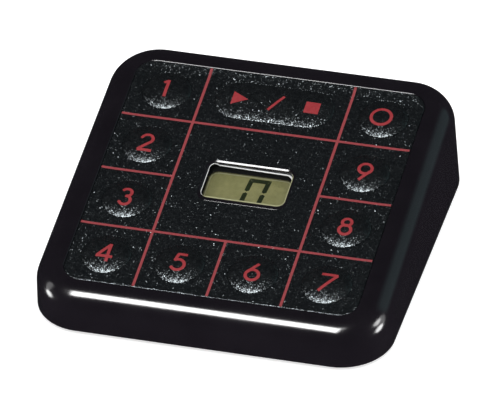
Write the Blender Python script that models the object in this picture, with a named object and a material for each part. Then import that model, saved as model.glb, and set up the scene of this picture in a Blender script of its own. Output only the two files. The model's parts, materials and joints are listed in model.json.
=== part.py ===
"""A keypad game clock: a low wedge case with a sunk overlay, eleven pillow keys and one digit display.

Lengths are in metres. +Z is up, -Y is the player's side, and the origin is under the middle of the
case at the level of the soles of its feet. Parts that lie along the sloping deck are built in deck
coordinates (x across, v up the slope, n out of the deck) and hang from the empty `deck_frame`.
"""

import math

import bmesh
import bpy
from mathutils import Vector

MM = 0.001
GAP = 0.3 * MM

# Case
CASE_WIDTH = 97 * MM
CASE_DEPTH = 94.8 * MM
CASE_CORNER = 13.9 * MM
CASE_WALL = 2.2 * MM
CASE_BOTTOM = 0.8 * MM
EDGE_ROUND = 6.15 * MM
DRAFT = math.radians(2)
SLOPE = math.radians(9.75)
DECK_CENTRE_Y = -1.6 * MM
DECK_CENTRE_Z = 20.04 * MM
RIM_RISE = 0.3 * MM
CORNER_STEPS = 6
ROUND_STEPS = 5

# Overlay and keys, in deck coordinates
CELL = 20 * MM
OVERLAY_SIDE = 4 * CELL
OVERLAY_CORNER = 5 * MM
OVERLAY_THICK = 0.5 * MM
KEY_RADIUS = 6.65 * MM
KEY_CROWN = 1.1 * MM
START_CROWN = 0.85 * MM
KEY_SKIRT = 0.05 * MM
KEY_FLANGE = 7.7 * MM
KEY_STEM = 3.0 * MM
START_HALF_RUN = 9.7 * MM
FLANGE_TOP = -0.8 * MM
FLANGE_BOTTOM = -1.5 * MM
STEM_BOTTOM = -2.7 * MM
DIGIT_CELLS = {
    "key_0": (1.5, 1.5), "key_1": (-1.5, 1.5), "key_2": (-1.5, 0.5), "key_3": (-1.5, -0.5),
    "key_4": (-1.5, -1.5), "key_5": (-0.5, -1.5), "key_6": (0.5, -1.5), "key_7": (1.5, -1.5),
    "key_8": (1.5, -0.5), "key_9": (1.5, 0.5),
}
START_CELL = (0, 1.5)

# Window and display, in deck coordinates
WINDOW_V = 0.55 * MM
WINDOW_SIZE = (23.5 * MM, 13.9 * MM)
WINDOW_CORNER = 2.4 * MM
LENS_TOP = -1.5 * MM
LENS_BOTTOM = -2.5 * MM
LENS_LAP = 1.3 * MM
GLASS_SIZE = (31 * MM, 21 * MM)
LOWER_GLASS_V = 16 * MM

# Circuit board and its bosses, in deck coordinates
DECK_UNDERSIDE = RIM_RISE - CASE_WALL
BOARD_TOP = -6.6 * MM
BOARD_THICK = 1.6 * MM
BOARD_SIZE = (80 * MM, 76 * MM)
BOARD_SCREWS = (
    (-22 * MM, 16.5 * MM), (22 * MM, 16.5 * MM), (-20 * MM, -20 * MM), (20 * MM, -20 * MM))
BOSS_RADIUS = 2.2 * MM
MAT_SIDE = 77 * MM
MAT_BOTTOM = BOARD_TOP + GAP
MAT_THICK = 0.8 * MM

# Base, door and battery compartment
BASE_INSET = CASE_WALL + GAP
BASE_TOP = 3.4 * MM
DOOR_HALF = 28 * MM
DOOR_TONGUE = 1.2 * MM
DOOR_TOP = 2.6 * MM
DOOR_FRONT = 19.1 * MM
DOOR_BACK = CASE_DEPTH / 2 - 0.1 * MM
TUB_HALF = 28.4 * MM
TUB_FRONT = 18.8 * MM
TUB_BACK = 43.8 * MM
TUB_WALL = 1.2 * MM
TUB_TOP = 14.8 * MM
CELL_RADIUS = 5.25 * MM
CELL_LENGTH = 44.5 * MM
CELL_NUB = 1.0 * MM
CELL_HEIGHT = 8.25 * MM
CELL_ROWS = (25.65 * MM, 36.75 * MM)
CONTACT_X = 26.3 * MM
CONTACT_THICK = 0.4 * MM

# Fasteners, feet and sounder
CASE_SCREWS = (
    (-43 * MM, -27.6 * MM), (43 * MM, -27.6 * MM), (-43 * MM, 28.4 * MM), (43 * MM, 28.4 * MM))
FEET = ((-36 * MM, -37 * MM), (36 * MM, -37 * MM), (-37 * MM, 37 * MM), (37 * MM, 37 * MM))
FOOT_RADIUS = 4 * MM
FOOT_TOP = 1.5 * MM
SOUNDER = (-20 * MM, -10 * MM)
SOUNDER_RADIUS = 10 * MM


# ---------------------------------------------------------------- materials

def material(name, colour, roughness, metallic=0.0, transmission=0.0):
    made = bpy.data.materials.new(name)
    made.use_nodes = True
    shader = made.node_tree.nodes["Principled BSDF"]
    shader.inputs["Base Color"].default_value = (*colour, 1)
    shader.inputs["Roughness"].default_value = roughness
    shader.inputs["Metallic"].default_value = metallic
    shader.inputs["Transmission Weight"].default_value = transmission
    return made


LOOKS = {
    "case_gloss": ((0.012, 0.012, 0.014), 0.12, 0.0),
    "base_satin": ((0.018, 0.018, 0.020), 0.45, 0.0),
    "overlay_film": ((0.030, 0.031, 0.033), 0.55, 0.0),
    "clear_plastic": ((0.90, 0.92, 0.92), 0.05, 0.0, 1.0),
    "display_glass": ((0.62, 0.66, 0.60), 0.08, 0.0, 0.6),
    "display_back": ((0.46, 0.47, 0.33), 0.6, 0.0),
    "silicone": ((0.20, 0.20, 0.21), 0.7, 0.0),
    "white_plastic": ((0.75, 0.75, 0.72), 0.5, 0.0),
    "circuit_board": ((0.02, 0.16, 0.07), 0.45, 0.0),
    "epoxy": ((0.01, 0.01, 0.01), 0.35, 0.0),
    "tin": ((0.70, 0.70, 0.68), 0.35, 1.0),
    "spring_steel": ((0.62, 0.61, 0.59), 0.3, 1.0),
    "brass": ((0.78, 0.60, 0.28), 0.35, 1.0),
    "cell_sleeve": ((0.10, 0.12, 0.20), 0.35, 0.0),
    "red_sleeve": ((0.60, 0.03, 0.03), 0.5, 0.0),
    "black_sleeve": ((0.02, 0.02, 0.02), 0.5, 0.0),
    "zinc": ((0.60, 0.60, 0.62), 0.35, 1.0),
    "foot_rubber": ((0.035, 0.035, 0.035), 0.85, 0.0),
}


# ---------------------------------------------------------------- building blocks

def clear_scene():
    for obj in list(bpy.data.objects):
        bpy.data.objects.remove(obj, do_unlink=True)


def add_object(name, mesh, look=None, parent=None, location=(0, 0, 0), rotation=(0, 0, 0)):
    obj = bpy.data.objects.new(name, mesh)
    bpy.context.scene.collection.objects.link(obj)
    obj.parent = parent
    obj.location = location
    obj.rotation_euler = rotation
    if look:
        mesh.materials.append(material(name, *LOOKS[look]))
    return obj


def finished(bm, name, smooth=False):
    """The bmesh as a mesh with its faces pointing out, shaded smooth where asked."""
    bmesh.ops.recalc_face_normals(bm, faces=bm.faces)
    mesh = bpy.data.meshes.new(name)
    bm.to_mesh(mesh)
    bm.free()
    if smooth:
        mesh.shade_smooth()
        mesh.set_sharp_from_angle(angle=math.radians(35))
    return mesh


def loft(bm, rings):
    """Joins closed rings of equal length in order and caps both ends."""
    rows = [[bm.verts.new(point) for point in ring] for ring in rings]
    count = len(rows[0])
    for low, high in zip(rows, rows[1:]):
        for i in range(count):
            j = (i + 1) % count
            bm.faces.new((low[i], low[j], high[j], high[i]))
    bm.faces.new(rows[0][::-1])
    bm.faces.new(rows[-1])


def rounded_rectangle(width, depth, corner, steps=CORNER_STEPS, centre=(0, 0)):
    """Points of a rounded rectangle, each with its outward normal."""
    outline = []
    for quarter in range(4):
        turn = quarter * math.pi / 2
        side_x = 1 if quarter in (0, 3) else -1
        side_y = 1 if quarter in (0, 1) else -1
        middle = Vector((side_x * (width / 2 - corner), side_y * (depth / 2 - corner)))
        for step in range(steps + 1):
            angle = turn + step / steps * math.pi / 2
            normal = Vector((math.cos(angle), math.sin(angle)))
            outline.append((middle + corner * normal + Vector(centre), normal))
    return outline


def circle(radius, centre=(0, 0), sides=24):
    turns = [2 * math.pi * i / sides for i in range(sides)]
    return [Vector(centre) + radius * Vector((math.cos(a), math.sin(a))) for a in turns]


def stadium(radius, half_run, centre=(0, 0), sides=24):
    """Two half circles, their centres a run apart along x, joined by straight sides."""
    outline = []
    for side in (1, -1):
        for step in range(sides // 2 + 1):
            angle = math.pi * (step / (sides // 2) - side / 2)
            outline.append(Vector((centre[0] + side * half_run + radius * math.cos(angle),
                                   centre[1] + radius * math.sin(angle))))
    return outline


def points_of(outline):
    return [point for point, normal in outline]


def prism(bm, outline, low, high):
    loft(bm, [[(p.x, p.y, level) for p in outline] for level in (low, high)])


def block(bm, low, high):
    corners = ((low[0], low[1]), (high[0], low[1]), (high[0], high[1]), (low[0], high[1]))
    prism(bm, [Vector(c) for c in corners], low[2], high[2])


def turned(bm, profile, sides=20):
    """Turns (radius, height) pairs, given from the bottom up, about Z. The ends lie on the axis."""
    rows = []
    for radius, height in profile[1:-1]:
        rows.append([bm.verts.new((p.x, p.y, height)) for p in circle(radius, sides=sides)])
    ends = [bm.verts.new((0, 0, profile[i][1])) for i in (0, -1)]
    for low, high in zip(rows, rows[1:]):
        for i in range(sides):
            j = (i + 1) % sides
            bm.faces.new((low[i], low[j], high[j], high[i]))
    for i in range(sides):
        j = (i + 1) % sides
        bm.faces.new((ends[0], rows[0][j], rows[0][i]))
        bm.faces.new((ends[1], rows[-1][i], rows[-1][j]))


def tool(name, fill, parent=None):
    """A helper solid for Booleans, kept out of the finished object."""
    bm = bmesh.new()
    fill(bm)
    obj = add_object(name, finished(bm, name), parent=parent)
    obj.hide_render = True
    obj.display_type = "WIRE"
    return obj


def solid(name, look, fill, parent=None, location=(0, 0, 0), rotation=(0, 0, 0), smooth=False):
    bm = bmesh.new()
    fill(bm)
    return add_object(name, finished(bm, name, smooth), look, parent, location, rotation)


def boolean(obj, operation, other):
    modifier = obj.modifiers.new(other.name, "BOOLEAN")
    modifier.operation = operation
    modifier.object = other


def tube(name, look, points, radius, resolution=2):
    """A round wire through the points."""
    curve = bpy.data.curves.new(name, "CURVE")
    curve.dimensions = "3D"
    curve.bevel_depth = radius
    curve.bevel_resolution = resolution
    curve.use_fill_caps = True
    spline = curve.splines.new("POLY")
    spline.points.add(len(points) - 1)
    for spot, point in zip(spline.points, points):
        spot.co = (*point, 1)
    return add_object(name, curve, look)


def smooth_route(stops, per_span=5):
    """A Catmull-Rom curve through the stops, sampled evenly in its parameter."""
    stops = [Vector(s) for s in stops]
    ends = [2 * stops[0] - stops[1]] + stops + [2 * stops[-1] - stops[-2]]
    route = []
    for a, b, c, d in zip(ends, ends[1:], ends[2:], ends[3:]):
        for step in range(per_span):
            t = step / per_span
            route.append(0.5 * (2 * b + (c - a) * t + (2 * a - 5 * b + 4 * c - d) * t ** 2
                                + (3 * b - a - 3 * c + d) * t ** 3))
    return route + [stops[-1]]


# ---------------------------------------------------------------- case shape

def deck_height(y, n=0.0):
    """Height of the plane n above the overlay, over the point y."""
    return DECK_CENTRE_Z + (y - DECK_CENTRE_Y) * math.tan(SLOPE) + n / math.cos(SLOPE)


def case_rings(inset, bottom):
    """Rings of the case's form: a drafted wall, then a rolling round over onto the sloping rim plane."""
    up_slope = Vector((0, -math.sin(SLOPE), math.cos(SLOPE)))
    radius = EDGE_ROUND - inset
    rings = [[] for _ in range(ROUND_STEPS + 2)]
    for point, normal in rounded_rectangle(CASE_WIDTH, CASE_DEPTH, CASE_CORNER):
        side = Vector((normal.x * math.cos(DRAFT), normal.y * math.cos(DRAFT), math.sin(DRAFT)))
        near_y = point.y - normal.y * EDGE_ROUND
        centre_z = deck_height(near_y, RIM_RISE - EDGE_ROUND)
        shift = EDGE_ROUND + (centre_z - CASE_BOTTOM) * math.tan(DRAFT)
        middle = point - shift * normal
        centre = Vector((middle.x, middle.y, deck_height(middle.y, RIM_RISE - EDGE_ROUND)))
        foot = point - (inset + (bottom - CASE_BOTTOM) * math.tan(DRAFT)) * normal
        rings[0].append(Vector((foot.x, foot.y, bottom)))
        span = side.angle(up_slope)
        for step in range(ROUND_STEPS + 1):
            turn = step / ROUND_STEPS * span
            direction = math.sin(span - turn) * side + math.sin(turn) * up_slope
            rings[step + 1].append(centre + radius / math.sin(span) * direction)
    return rings


# ---------------------------------------------------------------- parts

def build_top_case(deck):
    outside = case_rings(0, CASE_BOTTOM)
    case = solid("top_case", "case_gloss", lambda bm: loft(bm, outside), smooth=True)
    cavity = tool("case_cavity", lambda bm: loft(bm, case_rings(CASE_WALL, CASE_BOTTOM - 2 * MM)))
    limit = tool("boss_limit", lambda bm: loft(bm, case_rings(CASE_WALL / 2, CASE_BOTTOM - 1 * MM)))

    def case_bosses(bm):
        for x, y in CASE_SCREWS:
            prism(bm, circle(2.6 * MM, (x, y), 16), BASE_TOP + GAP, deck_height(y))

    def board_bosses(bm):
        for x, v in BOARD_SCREWS:
            boss = circle(BOSS_RADIUS, (x, v), 16)
            prism(bm, boss, BOARD_TOP + GAP, DECK_UNDERSIDE + CASE_WALL / 2)

    def pocket(bm):
        side = OVERLAY_SIDE + 2 * GAP
        prism(bm, points_of(rounded_rectangle(side, side, OVERLAY_CORNER + GAP)), FLANGE_TOP, 2 * MM)

    def deck_holes(bm):
        for column, row in DIGIT_CELLS.values():
            prism(bm, circle(KEY_FLANGE + GAP, (column * CELL, row * CELL)), -4 * MM, 0)
        start = (START_CELL[0] * CELL, START_CELL[1] * CELL)
        prism(bm, stadium(KEY_FLANGE + GAP, START_HALF_RUN, start), -4 * MM, 0)
        window = rounded_rectangle(*WINDOW_SIZE, WINDOW_CORNER, 6, (0, WINDOW_V))
        rebate_size = [s + 2 * LENS_LAP for s in WINDOW_SIZE]
        rebate = rounded_rectangle(*rebate_size, WINDOW_CORNER, 6, (0, WINDOW_V))
        lens_seat = LENS_TOP + GAP
        steps = ((rebate, -4 * MM), (rebate, lens_seat), (window, lens_seat), (window, 0))
        loft(bm, [[(p.x, p.y, n) for p in points_of(ring)] for ring, n in steps])
        for x, v in BOARD_SCREWS:
            prism(bm, circle(1.1 * MM, (x, v), 12), BOARD_TOP - 1 * MM, -3.2 * MM)

    def screw_holes(bm):
        for x, y in CASE_SCREWS:
            prism(bm, circle(1.2 * MM, (x, y), 12), BASE_TOP - 1 * MM, 9.6 * MM)

    def door_notch(bm):
        half = DOOR_HALF + DOOR_TONGUE + 0.4 * MM
        back = CASE_DEPTH / 2
        block(bm, (-half, back - 8 * MM, -1 * MM), (half, back + 2 * MM, DOOR_TOP + GAP))

    case_boss_tool = tool("case_bosses", case_bosses)
    board_boss_tool = tool("board_bosses", board_bosses, deck)
    boolean(case_boss_tool, "INTERSECT", limit)
    boolean(case, "DIFFERENCE", cavity)
    boolean(case, "UNION", case_boss_tool)
    boolean(case, "UNION", board_boss_tool)
    boolean(case, "DIFFERENCE", tool("overlay_pocket", pocket, deck))
    boolean(case, "DIFFERENCE", tool("deck_holes", deck_holes, deck))
    boolean(case, "DIFFERENCE", tool("screw_holes", screw_holes))
    boolean(case, "DIFFERENCE", tool("door_notch", door_notch))


def build_overlay(deck):
    side = OVERLAY_SIDE

    def sheet(bm):
        prism(bm, points_of(rounded_rectangle(side, side, OVERLAY_CORNER)), -OVERLAY_THICK, 0)

    def holes(bm):
        for column, row in DIGIT_CELLS.values():
            prism(bm, circle(KEY_RADIUS + GAP, (column * CELL, row * CELL), 28), -2 * MM, 2 * MM)
        start = (START_CELL[0] * CELL, START_CELL[1] * CELL)
        prism(bm, stadium(KEY_RADIUS + GAP, START_HALF_RUN, start, 28), -2 * MM, 2 * MM)
        window = rounded_rectangle(*WINDOW_SIZE, WINDOW_CORNER, 6, (0, WINDOW_V))
        prism(bm, points_of(window), -2 * MM, 2 * MM)

    overlay = solid("overlay_panel", "overlay_film", sheet, deck)
    boolean(overlay, "DIFFERENCE", tool("overlay_holes", holes, deck))


def crown_rings(height, shares):
    """(radius, height) of rings over a pillow key's top, at these shares of its radius."""
    return [(KEY_RADIUS * share, KEY_SKIRT + height * (1 - 0.55 * share ** 2 - 0.45 * share ** 4))
            for share in shares]


def build_keys(deck):
    profile = [(0, STEM_BOTTOM), (KEY_STEM, STEM_BOTTOM), (KEY_STEM, FLANGE_BOTTOM),
               (KEY_FLANGE, FLANGE_BOTTOM), (KEY_FLANGE, FLANGE_TOP), (KEY_RADIUS, FLANGE_TOP)]
    profile += crown_rings(KEY_CROWN, (1, 0.88, 0.68, 0.38, 0))
    for name, (column, row) in DIGIT_CELLS.items():
        place = (column * CELL, row * CELL, 0)
        solid(name, "overlay_film", lambda bm: turned(bm, profile), deck, place, smooth=True)

    def start_key(bm):
        rings = [(KEY_FLANGE, FLANGE_BOTTOM), (KEY_FLANGE, FLANGE_TOP), (KEY_RADIUS, FLANGE_TOP)]
        rings += crown_rings(START_CROWN, (1, 0.88, 0.68, 0.38, 0.1))
        loft(bm, [[(p.x, p.y, n) for p in stadium(radius, START_HALF_RUN)] for radius, n in rings])

    def stems(bm):
        for x in (-START_HALF_RUN, START_HALF_RUN):
            prism(bm, circle(KEY_STEM, (x, 0)), STEM_BOTTOM, FLANGE_BOTTOM + GAP)

    place = (START_CELL[0] * CELL, START_CELL[1] * CELL, 0)
    start = solid("key_start_stop", "overlay_film", start_key, deck, place, smooth=True)
    stem_tool = tool("start_stems", stems, deck)
    stem_tool.location = place
    boolean(start, "UNION", stem_tool)


def dome_places():
    places = [(column * CELL, row * CELL) for column, row in DIGIT_CELLS.values()]
    return places + [(side * START_HALF_RUN, START_CELL[1] * CELL) for side in (-1, 1)]


def build_key_mat(deck):
    mat_top = MAT_BOTTOM + MAT_THICK

    def web(bm):
        prism(bm, points_of(rounded_rectangle(MAT_SIDE, MAT_SIDE - 3 * MM, 3 * MM, 2)), MAT_BOTTOM, mat_top)

    def domes(bm):
        for x, v in dome_places():
            loft(bm, [[(p.x, p.y, n) for p in circle(radius, (x, v), 12)]
                      for radius, n in ((4.8 * MM, MAT_BOTTOM + 0.3 * MM), (4.8 * MM, mat_top),
                                        (3.6 * MM, STEM_BOTTOM - GAP))])

    def hollows(bm):
        for x, v in dome_places():
            loft(bm, [[(p.x, p.y, n) for p in circle(radius, (x, v), 12)]
                      for radius, n in ((3.9 * MM, MAT_BOTTOM - 1 * MM),
                                        (2.7 * MM, STEM_BOTTOM - 1.2 * MM))])
        for x, v in BOARD_SCREWS:
            prism(bm, circle(2.5 * MM, (x, v), 16), MAT_BOTTOM - 1 * MM, mat_top + 1 * MM)
        window = rounded_rectangle(37.6 * MM, 27.2 * MM, 1 * MM, 2, (0, WINDOW_V))
        prism(bm, points_of(window), MAT_BOTTOM - 1 * MM, mat_top + 1 * MM)

    mat = solid("key_mat", "silicone", web, deck)
    boolean(mat, "UNION", tool("mat_domes", domes, deck))
    boolean(mat, "DIFFERENCE", tool("mat_hollows", hollows, deck))


def slab(name, look, deck, size, low, high, centre=(0, WINDOW_V), corner=0.6 * MM):
    """A flat plate with small rounded corners, lying along the deck."""
    outline = points_of(rounded_rectangle(*size, corner, 2, centre))
    return solid(name, look, lambda bm: prism(bm, outline, low, high), deck)


def build_display(deck):
    lens_size = [s + 2 * (LENS_LAP - GAP) for s in WINDOW_SIZE]
    slab("window_lens", "clear_plastic", deck, lens_size, LENS_BOTTOM, LENS_TOP, corner=2 * MM)
    slab("lcd_front_glass", "display_glass", deck, GLASS_SIZE, -3.6 * MM, -2.8 * MM)
    slab("lcd_rear_glass", "display_glass", deck, (GLASS_SIZE[0], LOWER_GLASS_V), -4.7 * MM, -3.9 * MM)
    reflector_size = (GLASS_SIZE[0] - 1 * MM, LOWER_GLASS_V - 1 * MM)
    slab("lcd_reflector", "display_back", deck, reflector_size, -5.2 * MM, -5.0 * MM)
    frame = slab("lcd_frame", "white_plastic", deck, (36 * MM, 26 * MM), MAT_BOTTOM, DECK_UNDERSIDE - GAP)
    hole_size = [s + 2 * GAP for s in GLASS_SIZE]
    hole = points_of(rounded_rectangle(*hole_size, 0.8 * MM, 2, (0, WINDOW_V)))
    boolean(frame, "DIFFERENCE", tool("lcd_frame_hole", lambda bm: prism(bm, hole, -8 * MM, 0), deck))
    for name, side in (("zebra_strip_upper", 1), ("zebra_strip_lower", -1)):
        centre = (0, WINDOW_V + side * 9.4 * MM)
        slab(name, "silicone", deck, (28 * MM, 1.8 * MM), MAT_BOTTOM, -3.9 * MM, centre, 0.3 * MM)


def build_board(deck):
    board_bottom = BOARD_TOP - BOARD_THICK
    board = slab("main_board", "circuit_board", deck, BOARD_SIZE, board_bottom, BOARD_TOP, (0, 0), 3 * MM)

    def holes(bm):
        for x, v in BOARD_SCREWS:
            prism(bm, circle(1.15 * MM, (x, v), 12), board_bottom - 1 * MM, BOARD_TOP + 1 * MM)

    boolean(board, "DIFFERENCE", tool("board_holes", holes, deck))
    hang = board_bottom - GAP
    blob = [(0, -1.7 * MM), (2.4 * MM, -1.6 * MM), (4.6 * MM, -1.0 * MM), (5.6 * MM, -0.2 * MM),
            (5.6 * MM, 0), (0, 0)]
    place = (8 * MM, -6 * MM, hang)
    solid("controller_chip", "epoxy", lambda bm: turned(bm, blob, 20), deck, place, smooth=True)
    can = [(0, 0), (1 * MM, 0), (1 * MM, 6 * MM), (0, 6 * MM)]
    solid("quartz_crystal", "tin", lambda bm: turned(bm, can, 12), deck,
          (14 * MM, 6 * MM, hang - 1 * MM), (0, math.pi / 2, 0), smooth=True)
    pot = [(0, -5 * MM), (1.9 * MM, -5 * MM), (2.1 * MM, -4.7 * MM), (2.1 * MM, 0), (0, 0)]
    for number, x in enumerate((-8 * MM, -2.4 * MM), 1):
        solid(f"capacitor_{number}", "epoxy", lambda bm: turned(bm, pot, 16), deck,
              (x, 8 * MM, hang), smooth=True)
    screw = [(0, 0), (1.8 * MM, 0), (1.8 * MM, 1.0 * MM), (0.8 * MM, 1.3 * MM), (0.8 * MM, 6 * MM),
             (0, 6 * MM)]
    for number, (x, v) in enumerate(BOARD_SCREWS, 1):
        place = (x, v, board_bottom - GAP - 1.3 * MM)
        solid(f"board_screw_{number}", "zinc", lambda bm: turned(bm, screw, 12), deck, place, smooth=True)


def door_section(half, tongue, low, lip, high):
    """The T-shaped section of the door or of the slot it runs in, as (x, z)."""
    right = [(half, low), (half, lip), (half + tongue, lip), (half + tongue, high)]
    return right + [(-x, z) for x, z in reversed(right)]


def along_y(bm, section, front, back):
    loft(bm, [[(x, y, z) for x, z in section] for y in (front, back)])


def build_base():
    outline = []
    for point, normal in rounded_rectangle(CASE_WIDTH, CASE_DEPTH, CASE_CORNER):
        outline.append(point - normal * (BASE_INSET + (BASE_TOP - CASE_BOTTOM) * math.tan(DRAFT)))
    base = solid("bottom_case", "base_satin", lambda bm: prism(bm, outline, CASE_BOTTOM, BASE_TOP))

    def tub(bm):
        block(bm, (-TUB_HALF, TUB_FRONT, BASE_TOP - 1 * MM), (TUB_HALF, TUB_BACK, TUB_TOP))

    def sounder_rim(bm):
        rim = circle(SOUNDER_RADIUS + 1.6 * MM, SOUNDER, 32)
        prism(bm, rim, BASE_TOP - 0.5 * MM, BASE_TOP + 1.6 * MM)

    def sounder_well(bm):
        well = circle(SOUNDER_RADIUS + 0.4 * MM, SOUNDER, 32)
        prism(bm, well, BASE_TOP, BASE_TOP + 4 * MM)

    def tub_room(bm):
        block(bm, (-TUB_HALF + 1.4 * MM, TUB_FRONT + TUB_WALL, -1 * MM),
              (TUB_HALF - 1.4 * MM, TUB_BACK - TUB_WALL, TUB_TOP - 0.9 * MM))

    def slot(bm):
        section = door_section(DOOR_HALF + GAP, DOOR_TONGUE, -1 * MM, 1.5 * MM, DOOR_TOP + GAP)
        along_y(bm, section, DOOR_FRONT - GAP, CASE_DEPTH / 2 + 2 * MM)

    def small_holes(bm):
        countersink = ((2.2 * MM, -1 * MM), (2.2 * MM, 1.8 * MM), (1.2 * MM, 2.9 * MM), (1.2 * MM, 6 * MM))
        for x, y in CASE_SCREWS:
            loft(bm, [[(p.x, p.y, z) for p in circle(radius, (x, y), 16)] for radius, z in countersink])
        for x, y in FEET:
            prism(bm, circle(FOOT_RADIUS + GAP, (x, y), 24), -1 * MM, FOOT_TOP + GAP)
        spots = [SOUNDER] + [tuple(p) for p in circle(4.5 * MM, SOUNDER, 6)]
        for spot in spots:
            prism(bm, circle(0.8 * MM, spot, 10), -1 * MM, BASE_TOP + 2 * MM)
        for y in CELL_ROWS:
            block(bm, (TUB_HALF - 2 * MM, y - 1.3 * MM, 9.6 * MM),
                  (TUB_HALF + 2 * MM, y + 1.3 * MM, 11.6 * MM))

    boolean(base, "UNION", tool("tub_block", tub))
    boolean(base, "UNION", tool("sounder_rim", sounder_rim))
    boolean(base, "DIFFERENCE", tool("sounder_well", sounder_well))
    boolean(base, "DIFFERENCE", tool("tub_room", tub_room))
    boolean(base, "DIFFERENCE", tool("door_slot", slot))
    boolean(base, "DIFFERENCE", tool("base_holes", small_holes))


def build_door():
    def leaf(bm):
        section = door_section(DOOR_HALF, DOOR_TONGUE - GAP, CASE_BOTTOM, 1.8 * MM, DOOR_TOP)
        along_y(bm, section, DOOR_FRONT, CASE_DEPTH / 2 - CASE_WALL - 0.8 * MM)

    def lip(bm):
        half = DOOR_HALF + DOOR_TONGUE
        block(bm, (-half, CASE_DEPTH / 2 - CASE_WALL, CASE_BOTTOM), (half, DOOR_BACK, DOOR_TOP))

    def neck(bm):
        front = CASE_DEPTH / 2 - CASE_WALL - 2 * MM
        block(bm, (-DOOR_HALF + 1 * MM, front, CASE_BOTTOM + 0.1 * MM),
              (DOOR_HALF - 1 * MM, DOOR_BACK - 1 * MM, DOOR_TOP - 0.1 * MM))

    door = solid("battery_door", "base_satin", leaf)
    boolean(door, "UNION", tool("door_neck", neck))
    boolean(door, "UNION", tool("door_lip", lip))


def build_battery_bay():
    body = CELL_LENGTH - CELL_NUB
    cell = [(0, 0), (CELL_RADIUS - 0.4 * MM, 0), (CELL_RADIUS, 0.4 * MM), (CELL_RADIUS, body - 0.4 * MM),
            (CELL_RADIUS - 0.4 * MM, body), (1.9 * MM, body), (1.9 * MM, CELL_LENGTH), (0, CELL_LENGTH)]
    spring_reach = 2 * CONTACT_X - CELL_LENGTH - 3 * GAP
    for number, (y, side) in enumerate(zip(CELL_ROWS, (1, -1)), 1):
        plain_end = side * (CONTACT_X - GAP - CELL_LENGTH)
        turn = (0, side * math.pi / 2, 0)
        solid(f"battery_cell_{number}", "cell_sleeve", lambda bm: turned(bm, cell, 20),
              location=(plain_end, y, CELL_HEIGHT), rotation=turn, smooth=True)
        coil = []
        turns, steps = 4, 12
        for i in range(turns * steps + 1):
            share = i / (turns * steps)
            angle = share * turns * 2 * math.pi
            radius = (3.6 - 1.2 * share) * MM
            x = -CONTACT_X + GAP + 0.35 * MM + share * (spring_reach - 0.7 * MM)
            coil.append((side * x, y + radius * math.cos(angle), CELL_HEIGHT + radius * math.sin(angle)))
        tube(f"battery_spring_{number}", "spring_steel", coil, 0.3 * MM, 0)
    low, high = CELL_HEIGHT - 3.8 * MM, CELL_HEIGHT + 3.8 * MM
    half = 4 * MM
    left = -CONTACT_X - CONTACT_THICK
    solid("contact_bridge", "tin", lambda bm: block(
        bm, (left, CELL_ROWS[0] - half, low), (-CONTACT_X, CELL_ROWS[1] + half, high)))
    for name, y in (("contact_positive", CELL_ROWS[0]), ("contact_negative", CELL_ROWS[1])):
        def plate(bm, y=y):
            block(bm, (CONTACT_X, y - half, low), (CONTACT_X + CONTACT_THICK, y + half, high))

        def tab(bm, y=y):
            block(bm, (CONTACT_X + 0.1 * MM, y - 0.8 * MM, 10.4 * MM),
                  (TUB_HALF + 1.2 * MM, y + 0.8 * MM, 10.9 * MM))

        contact = solid(name, "tin", plate)
        boolean(contact, "UNION", tool(name + "_tab", tab))


def build_wiring():
    wire = 0.55 * MM
    start_x = TUB_HALF + 1.7 * MM
    level = 10.65 * MM
    red = [(start_x, CELL_ROWS[0], level), (32 * MM, 24.4 * MM, 10.6 * MM),
           (34 * MM, 20.4 * MM, 10.8 * MM), (34.6 * MM, 16 * MM, 11.9 * MM),
           (34.6 * MM, 14 * MM, 13.5 * MM)]
    black = [(start_x, CELL_ROWS[1], level), (33.5 * MM, 35.6 * MM, 10.4 * MM),
             (36.8 * MM, 30 * MM, 10.2 * MM), (38 * MM, 23 * MM, 10.8 * MM),
             (38 * MM, 18 * MM, 12.2 * MM), (38 * MM, 16 * MM, 13.9 * MM)]
    tube("battery_wire_red", "red_sleeve", smooth_route(red), wire)
    tube("battery_wire_black", "black_sleeve", smooth_route(black), wire)
    x, y = SOUNDER
    hot = [(x + 2 * MM, y, 5.1 * MM), (x + 6 * MM, y + 1 * MM, 6.2 * MM),
           (x + 9 * MM, y + 3 * MM, 8 * MM), (x + 9 * MM, y + 4 * MM, 10.1 * MM)]
    cold = [(x - 2 * MM, y - 5 * MM, 5.1 * MM), (x + 3 * MM, y - 7 * MM, 6.0 * MM),
            (x + 9 * MM, y - 5 * MM, 7.2 * MM), (x + 9 * MM, y - 3 * MM, 9.0 * MM)]
    tube("sounder_wire_red", "red_sleeve", smooth_route(hot), 0.45 * MM)
    tube("sounder_wire_black", "black_sleeve", smooth_route(cold), 0.45 * MM)


def build_sounder_feet_and_screws():
    disc = [(0, 0), (SOUNDER_RADIUS, 0), (SOUNDER_RADIUS, 0.3 * MM), (7 * MM, 0.3 * MM),
            (7 * MM, 0.6 * MM), (0, 0.6 * MM)]
    solid("piezo_sounder", "brass", lambda bm: turned(bm, disc, 32),
          location=(*SOUNDER, BASE_TOP + GAP), smooth=True)
    pad = [(0, 0), (FOOT_RADIUS - 0.4 * MM, 0), (FOOT_RADIUS, 0.4 * MM), (FOOT_RADIUS, FOOT_TOP),
           (0, FOOT_TOP)]
    for number, (x, y) in enumerate(FEET, 1):
        solid(f"foot_{number}", "foot_rubber", lambda bm: turned(bm, pad, 24),
              location=(x, y, 0), smooth=True)
    screw = [(0, 1.1 * MM), (1.9 * MM, 1.1 * MM), (1.9 * MM, 1.5 * MM), (0.9 * MM, 2.5 * MM),
             (0.9 * MM, 8.4 * MM), (0, 9 * MM)]
    for number, (x, y) in enumerate(CASE_SCREWS, 1):
        solid(f"case_screw_{number}", "zinc", lambda bm: turned(bm, screw, 12),
              location=(x, y, 0), smooth=True)


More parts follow.
